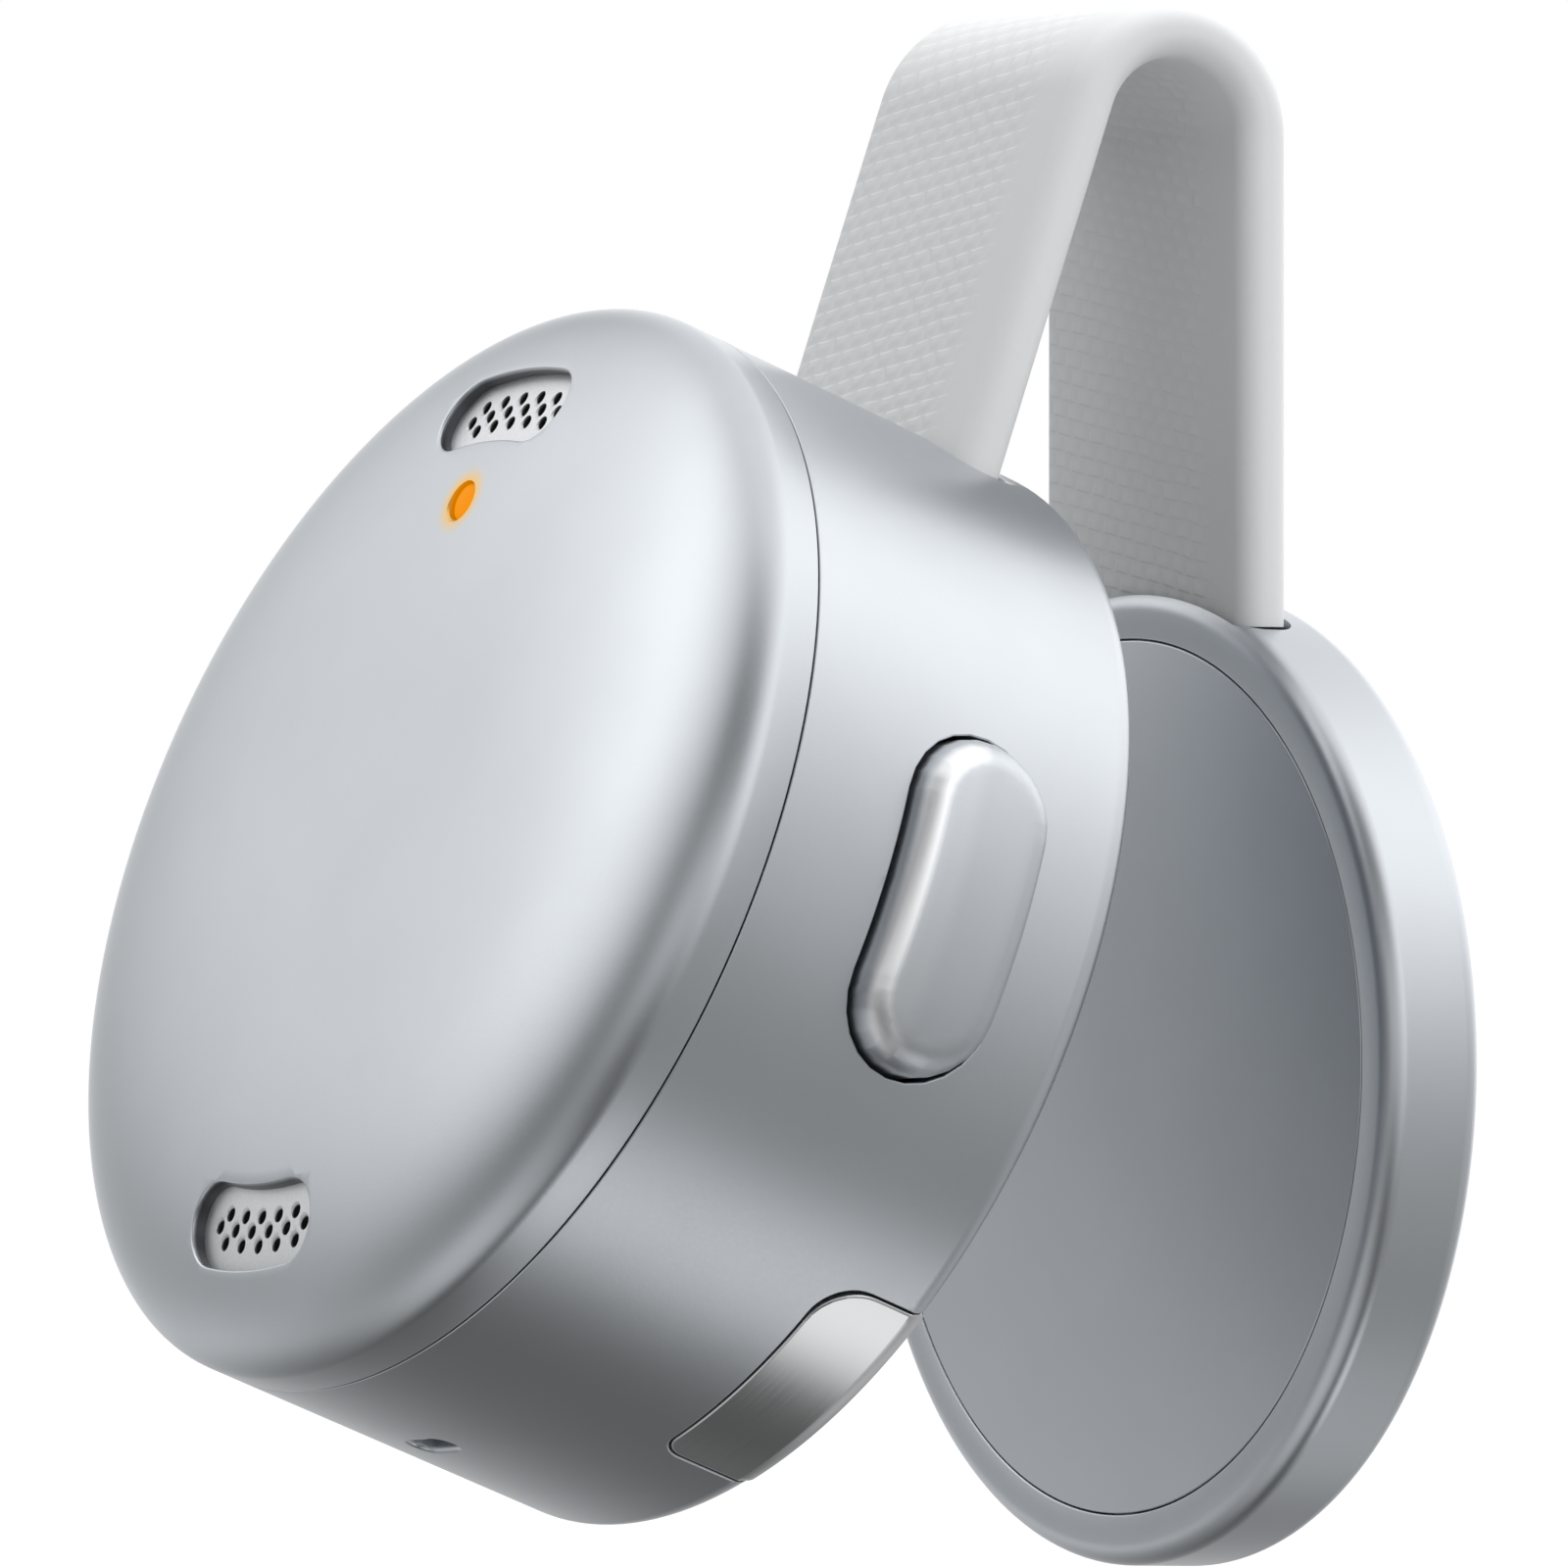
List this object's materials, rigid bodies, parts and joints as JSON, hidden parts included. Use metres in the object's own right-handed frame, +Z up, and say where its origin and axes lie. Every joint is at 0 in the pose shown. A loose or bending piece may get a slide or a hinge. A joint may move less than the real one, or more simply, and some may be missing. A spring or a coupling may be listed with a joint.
{
  "type": "clip-on voice recorder",
  "caption": "Round metal clip-on voice recorder with microphone grilles, a status light and a side key, held by a bent elastomer strap to a thin clip disc.",
  "frame": {"origin": "on the strap's bending axis, under the crown of the bend, where the garment's edge lies", "axes": "+Z up, +Y from the puck towards the clip disc's outer face, +X towards the side that carries the key"},
  "size_m": [0.0328, 0.0321, 0.0442],
  "materials": {
    "aluminium_body": "bead-blasted satin anodised",
    "polished_panel": "polished",
    "grille_metal": "matte light grey",
    "strap_elastomer": "matte, moulded fine twill with smooth borders",
    "status_light": "translucent, lit orange",
    "lamp": "gloss",
    "steel_hardware": "plain",
    "magnet_metal": "nickel plated",
    "circuit_board": "solder mask",
    "dark_rubber": "matte",
    "switch_plastic": "matte",
    "cell_foil": "laminated foil",
    "flex_film": "film"
  },
  "bodies": {
    "clip": {"disc_shell": "aluminium_body", "disc_inner_plate": "aluminium_body", "disc_magnet": "magnet_metal", "disc_strap_screw_1": "steel_hardware", "disc_strap_screw_2": "steel_hardware", "strap_rear_leg": "strap_elastomer", "strap_crown": "strap_elastomer"},
    "recorder": {"front_shell": "aluminium_body", "rear_housing": "aluminium_body", "grille_top": "grille_metal", "grille_bottom": "grille_metal", "strap_front_leg": "strap_elastomer", "acoustic_mesh_top": "dark_rubber", "acoustic_mesh_bottom": "dark_rubber", "battery": "cell_foil", "battery_flex": "flex_film", "battery_pad": "dark_rubber", "board_screw_1": "steel_hardware", "board_screw_2": "steel_hardware", "board_screw_3": "steel_hardware", "body_magnet": "magnet_metal", "button_board": "circuit_board", "button_switch": "switch_plastic", "charge_port": "steel_hardware", "clamp_screw_1": "steel_hardware", "clamp_screw_2": "steel_hardware", "strap_clamp": "steel_hardware", "door_pin": "steel_hardware", "led_chip": "lamp", "light_pipe": "status_light", "main_board": "circuit_board", "mic_top": "steel_hardware", "mic_bottom": "steel_hardware", "mic_boot_top": "dark_rubber", "mic_boot_bottom": "dark_rubber", "processor_shield": "steel_hardware", "shell_seal": "dark_rubber", "vent_membrane": "dark_rubber"},
    "key": {"side_button": "aluminium_body", "button_pad": "dark_rubber"},
    "door": {"port_door": "polished_panel"}
  },
  "joints": [
    {"name": "clip_hinge", "type": "hinge", "parent": "clip", "child": "recorder", "pos_m": [0, 0, 0], "axis": [1, 0, 0], "range_deg": [-60, 22], "stiffness_Nm_per_rad": 0.08, "springref_deg": -1.72, "deforming": ["strap_crown"]},
    {"name": "button_press", "type": "slide", "parent": "recorder", "child": "key", "axis": [-0.9984, -0.0189, -0.0525], "range_m": [0, 0.0004], "stiffness_N_per_m": 1500},
    {"name": "port_door_hinge", "type": "hinge", "parent": "recorder", "child": "door", "pos_m": [0.01172, -0.01391, -0.03362], "axis": [0, -0.9409, 0.3387], "range_deg": [0, 95]}
  ]
}
